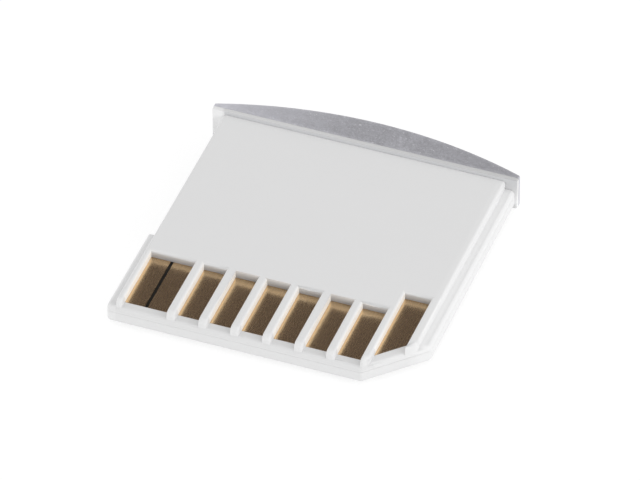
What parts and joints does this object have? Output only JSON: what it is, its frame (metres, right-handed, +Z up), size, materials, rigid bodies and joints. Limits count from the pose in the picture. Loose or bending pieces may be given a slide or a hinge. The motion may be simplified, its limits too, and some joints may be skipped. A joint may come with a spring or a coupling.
{
  "type": "memory card adapter",
  "caption": "Short memory card adapter that lets a small card sit almost flush in a full-width card slot, white plastic with gold pads and a silver crescent end cap",
  "frame": {"origin": "centre of the footprint, at the height of the end cap's underside", "axes": "+Z up, out of the contact side; +Y from the leading edge with the contacts to the end cap; +X towards the cut corner"},
  "size_m": [0.0244, 0.0252, 0.0028],
  "materials": {
    "white_plastic": "satin moulded white plastic with a fine texture",
    "black_board": "satin black solder mask on a thin board",
    "gold_plating": "polished gold plating",
    "black_insulator": "matte black moulded insulator",
    "plated_spring": "stamped strip with gold plating",
    "blasted_aluminium": "fine blasted and clear anodised aluminium"
  },
  "bodies": {
    "root": {"contact_side_shell": "white_plastic", "label_side_shell": "white_plastic", "circuit_board": "black_board", "pad_1": "gold_plating", "pad_2": "gold_plating", "pad_3": "gold_plating", "pad_4": "gold_plating", "pad_5": "gold_plating", "pad_6": "gold_plating", "pad_7": "gold_plating", "pad_8": "gold_plating", "pad_9": "gold_plating", "contact_block": "black_insulator", "spring_contact_1": "plated_spring", "spring_contact_2": "plated_spring", "spring_contact_3": "plated_spring", "spring_contact_4": "plated_spring", "spring_contact_5": "plated_spring", "spring_contact_6": "plated_spring", "spring_contact_7": "plated_spring", "spring_contact_8": "plated_spring", "end_flange": "white_plastic", "end_cap": "blasted_aluminium"}
  },
  "joints": []
}
